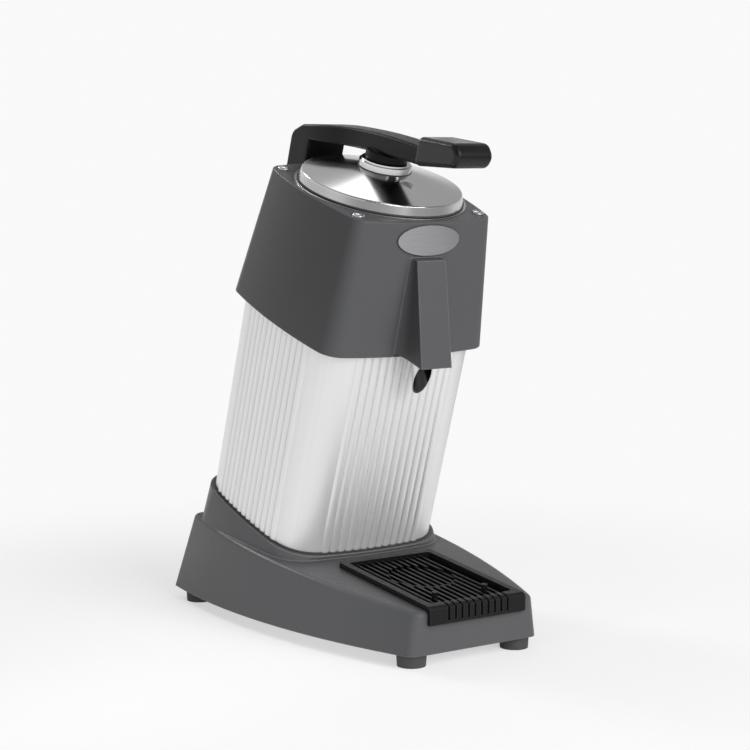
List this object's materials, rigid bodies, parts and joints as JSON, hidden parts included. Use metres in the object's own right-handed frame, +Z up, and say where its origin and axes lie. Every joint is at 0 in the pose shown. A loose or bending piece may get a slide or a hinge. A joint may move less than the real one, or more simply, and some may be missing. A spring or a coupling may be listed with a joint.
{
  "type": "lever citrus press",
  "caption": "Motor-driven citrus press: ribbed leaning column on a low base with drip tray, head with spout hood, pull-down lever carrying a steel lid and press cup over a fluted reamer.",
  "frame": {"origin": "centre of the overall footprint, on the surface that the feet stand on", "axes": "+X to the right seen from the front, the spout and drip tray face -Y, +Z up"},
  "size_m": [0.2226, 0.386, 0.4801],
  "materials": {
    "casting_grey": "satin textured paint",
    "column_aluminium": "bright anodised",
    "polished_steel": "mirror polished",
    "satin_steel": "satin",
    "screw_steel": "bright zinc",
    "lever_black": "satin black",
    "grip_black": "moulded",
    "tray_black": "moulded",
    "foot_rubber": "matt",
    "plate_steel": "zinc plated sheet",
    "food_plastic": "smooth",
    "motor_iron": "laminated steel",
    "motor_alloy": "cast",
    "copper": "lacquered wire",
    "device_plastic": "moulded",
    "bush_bronze": "sintered",
    "badge_metal": "satin"
  },
  "bodies": {
    "stand": {"base_housing": "casting_grey", "head_casing": "casting_grey", "column": "column_aluminium", "base_plate": "plate_steel", "foot_front_left": "foot_rubber", "foot_front_right": "foot_rubber", "foot_rear_left": "foot_rubber", "foot_rear_right": "foot_rubber", "foot_screws": "screw_steel", "column_screws": "screw_steel", "head_screws": "screw_steel", "bracket_screws": "screw_steel", "cord_grommet": "foot_rubber", "capacitor": "device_plastic", "capacitor_clip": "plate_steel", "terminal_block": "device_plastic", "motor_plate": "motor_alloy", "motor_shell": "motor_alloy", "lower_shield": "motor_alloy", "stator_core": "motor_iron", "stator_windings": "copper", "upper_bearing": "screw_steel", "lower_bearing": "screw_steel", "shaft_seal": "foot_rubber", "badge_plate": "badge_metal", "bowl": "satin_steel", "spout": "polished_steel", "strainer": "satin_steel", "pivot_bracket": "lever_black", "pivot_pin": "screw_steel", "start_switch": "device_plastic"},
    "spindle": {"motor_shaft": "screw_steel", "rotor": "motor_iron", "cooling_fan": "device_plastic", "reamer": "food_plastic", "drive_pin": "screw_steel"},
    "lever": {"lever_arm": "lever_black", "lever_grip": "grip_black", "press_stud": "screw_steel", "lid": "polished_steel", "lid_collar": "polished_steel", "press_cup": "food_plastic", "hub_nut": "screw_steel", "pivot_bushes": "bush_bronze"},
    "plunger": {"switch_plunger": "device_plastic"},
    "tray": {"drip_tray": "tray_black"}
  },
  "joints": [
    {"name": "spindle_spin", "type": "hinge", "parent": "stand", "child": "spindle", "pos_m": [0, 0.097, 0], "axis": [0, -0.309, 0.9511], "continuous": true},
    {"name": "lever_lift", "type": "hinge", "parent": "stand", "child": "lever", "pos_m": [0, 0.09365, 0.39216], "axis": [-1, 0, 0], "range_deg": [0, 65]},
    {"name": "plunger_push", "type": "slide", "parent": "stand", "child": "plunger", "axis": [0, 0.9511, 0.309], "range_m": [0, 0.003]},
    {"name": "tray_lift", "type": "slide", "parent": "stand", "child": "tray", "axis": [0, -0.108, 0.9942], "range_m": [0, 0.06]}
  ],
  "couplings": [
    {"joint": "plunger_push", "follows": "lever_lift", "m_per_rad": 0.002644}
  ]
}
